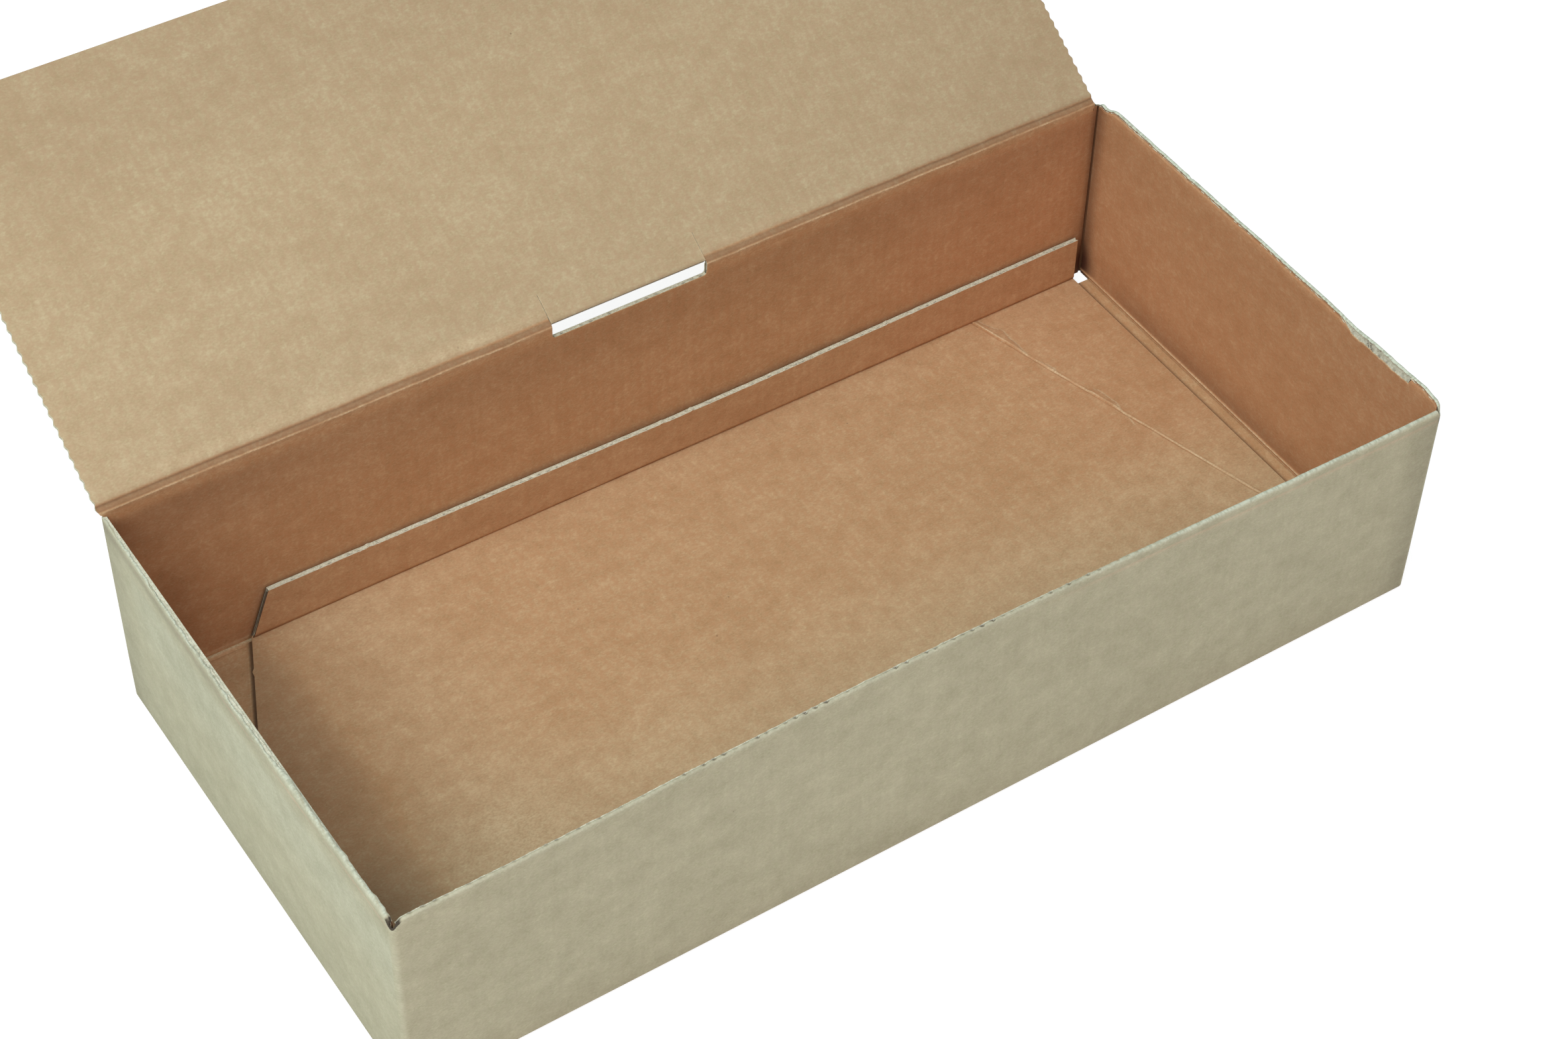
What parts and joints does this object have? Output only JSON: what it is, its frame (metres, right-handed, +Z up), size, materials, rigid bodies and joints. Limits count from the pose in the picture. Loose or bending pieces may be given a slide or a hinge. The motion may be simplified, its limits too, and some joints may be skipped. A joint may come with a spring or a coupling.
{
  "type": "auto-bottom shipping carton",
  "caption": "Long low corrugated carton with a self-locking glued bottom, a floor panel with a standing lip and a hinged lid with wave-cut edges, shown open.",
  "frame": {"origin": "middle of the carton's base, on the surface it stands on", "axes": "+X along the length, +Y from the front wall to the rear wall with the lid's hinge, +Z up"},
  "size_m": [0.3529, 0.276, 0.1474],
  "materials": {
    "kraft_board": "matte uncoated kraft liner"
  },
  "bodies": {
    "carton": {"carton": "kraft_board"},
    "lid": {"lid": "kraft_board"},
    "lip": {"lip": "kraft_board"}
  },
  "joints": [
    {"name": "lid_hinge", "type": "hinge", "parent": "carton", "child": "lid", "pos_m": [0, 0.0844, 0.07794], "axis": [-1, 0, 0], "range_deg": [-147, 65]},
    {"name": "lip_fold", "type": "hinge", "parent": "carton", "child": "lip", "pos_m": [0, 0.0812, 0.0051], "axis": [1, 0, 0], "range_deg": [0, 88]}
  ]
}
